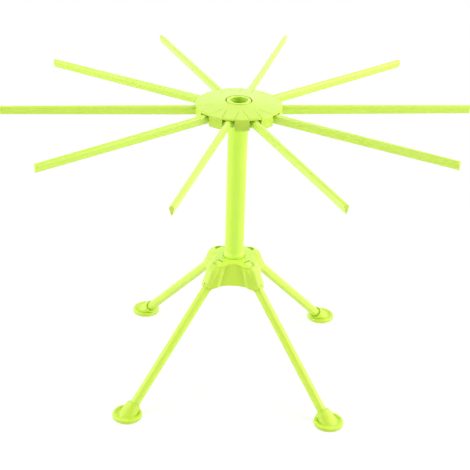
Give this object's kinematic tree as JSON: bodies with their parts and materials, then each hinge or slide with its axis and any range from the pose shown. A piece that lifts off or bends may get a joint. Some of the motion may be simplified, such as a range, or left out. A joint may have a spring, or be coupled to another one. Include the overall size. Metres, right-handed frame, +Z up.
{
  "type": "pasta drying rack",
  "caption": "Free-standing folding rack of lime-green moulded plastic: level drying arms spread from a turning hub on a tube column, over splayed folding legs with round feet.",
  "frame": {"origin": "on the column's axis at the surface that the feet stand on", "axes": "+Z up along the column, towards the hub; +X and +Y lie midway between neighbouring legs"},
  "size_m": [0.4482, 0.4406, 0.3],
  "materials": {
    "lime_plastic": "satin moulded plastic"
  },
  "bodies": {
    "stand": {"column_tube": "lime_plastic", "column_cap": "lime_plastic", "base_hub": "lime_plastic", "base_retainer": "lime_plastic"},
    "hub": {"hub_cap": "lime_plastic", "hub_plate": "lime_plastic"},
    "arm_01": {"arm_01": "lime_plastic"},
    "arm_02": {"arm_02": "lime_plastic"},
    "arm_03": {"arm_03": "lime_plastic"},
    "arm_04": {"arm_04": "lime_plastic"},
    "arm_05": {"arm_05": "lime_plastic"},
    "arm_06": {"arm_06": "lime_plastic"},
    "arm_07": {"arm_07": "lime_plastic"},
    "arm_08": {"arm_08": "lime_plastic"},
    "arm_09": {"arm_09": "lime_plastic"},
    "arm_10": {"arm_10": "lime_plastic"},
    "leg_1": {"leg_1": "lime_plastic", "foot_1": "lime_plastic"},
    "leg_2": {"leg_2": "lime_plastic", "foot_2": "lime_plastic"},
    "leg_3": {"leg_3": "lime_plastic", "foot_3": "lime_plastic"},
    "leg_4": {"leg_4": "lime_plastic", "foot_4": "lime_plastic"}
  },
  "joints": [
    {"name": "hub_spin", "type": "hinge", "parent": "stand", "child": "hub", "pos_m": [0, 0, 0.29], "axis": [0, 0, 1], "continuous": true},
    {"name": "arm_01_fold", "type": "hinge", "parent": "hub", "child": "arm_01", "pos_m": [0.03582, 0.00361, 0.29], "axis": [-0.1002, 0.995, 0], "range_deg": [0, 83]},
    {"name": "arm_02_fold", "type": "hinge", "parent": "hub", "child": "arm_02", "pos_m": [0.02686, 0.02397, 0.29], "axis": [-0.6659, 0.7461, 0], "range_deg": [0, 83]},
    {"name": "arm_03_fold", "type": "hinge", "parent": "hub", "child": "arm_03", "pos_m": [0.00764, 0.03518, 0.29], "axis": [-0.9772, 0.2122, 0], "range_deg": [0, 83]},
    {"name": "arm_04_fold", "type": "hinge", "parent": "hub", "child": "arm_04", "pos_m": [-0.0145, 0.03295, 0.29], "axis": [-0.9153, -0.4027, 0], "range_deg": [0, 83]},
    {"name": "arm_05_fold", "type": "hinge", "parent": "hub", "child": "arm_05", "pos_m": [-0.0311, 0.01814, 0.29], "axis": [-0.5038, -0.8638, 0], "range_deg": [0, 83]},
    {"name": "arm_06_fold", "type": "hinge", "parent": "hub", "child": "arm_06", "pos_m": [-0.03582, -0.00361, 0.29], "axis": [0.1002, -0.995, 0], "range_deg": [0, 83]},
    {"name": "arm_07_fold", "type": "hinge", "parent": "hub", "child": "arm_07", "pos_m": [-0.02686, -0.02397, 0.29], "axis": [0.6659, -0.7461, 0], "range_deg": [0, 83]},
    {"name": "arm_08_fold", "type": "hinge", "parent": "hub", "child": "arm_08", "pos_m": [-0.00764, -0.03518, 0.29], "axis": [0.9772, -0.2122, 0], "range_deg": [0, 83]},
    {"name": "arm_09_fold", "type": "hinge", "parent": "hub", "child": "arm_09", "pos_m": [0.0145, -0.03295, 0.29], "axis": [0.9153, 0.4027, 0], "range_deg": [0, 83]},
    {"name": "arm_10_fold", "type": "hinge", "parent": "hub", "child": "arm_10", "pos_m": [0.0311, -0.01814, 0.29], "axis": [0.5038, 0.8638, 0], "range_deg": [0, 83]},
    {"name": "leg_1_fold", "type": "hinge", "parent": "stand", "child": "leg_1", "pos_m": [0.01414, 0.01414, 0.12417], "axis": [-0.7071, 0.7071, 0], "range_deg": [0, 44]},
    {"name": "leg_2_fold", "type": "hinge", "parent": "stand", "child": "leg_2", "pos_m": [-0.01414, 0.01414, 0.12417], "axis": [-0.7071, -0.7071, 0], "range_deg": [0, 44]},
    {"name": "leg_3_fold", "type": "hinge", "parent": "stand", "child": "leg_3", "pos_m": [-0.01414, -0.01414, 0.12417], "axis": [0.7071, -0.7071, 0], "range_deg": [0, 44]},
    {"name": "leg_4_fold", "type": "hinge", "parent": "stand", "child": "leg_4", "pos_m": [0.01414, -0.01414, 0.12417], "axis": [0.7071, 0.7071, 0], "range_deg": [0, 44]}
  ]
}
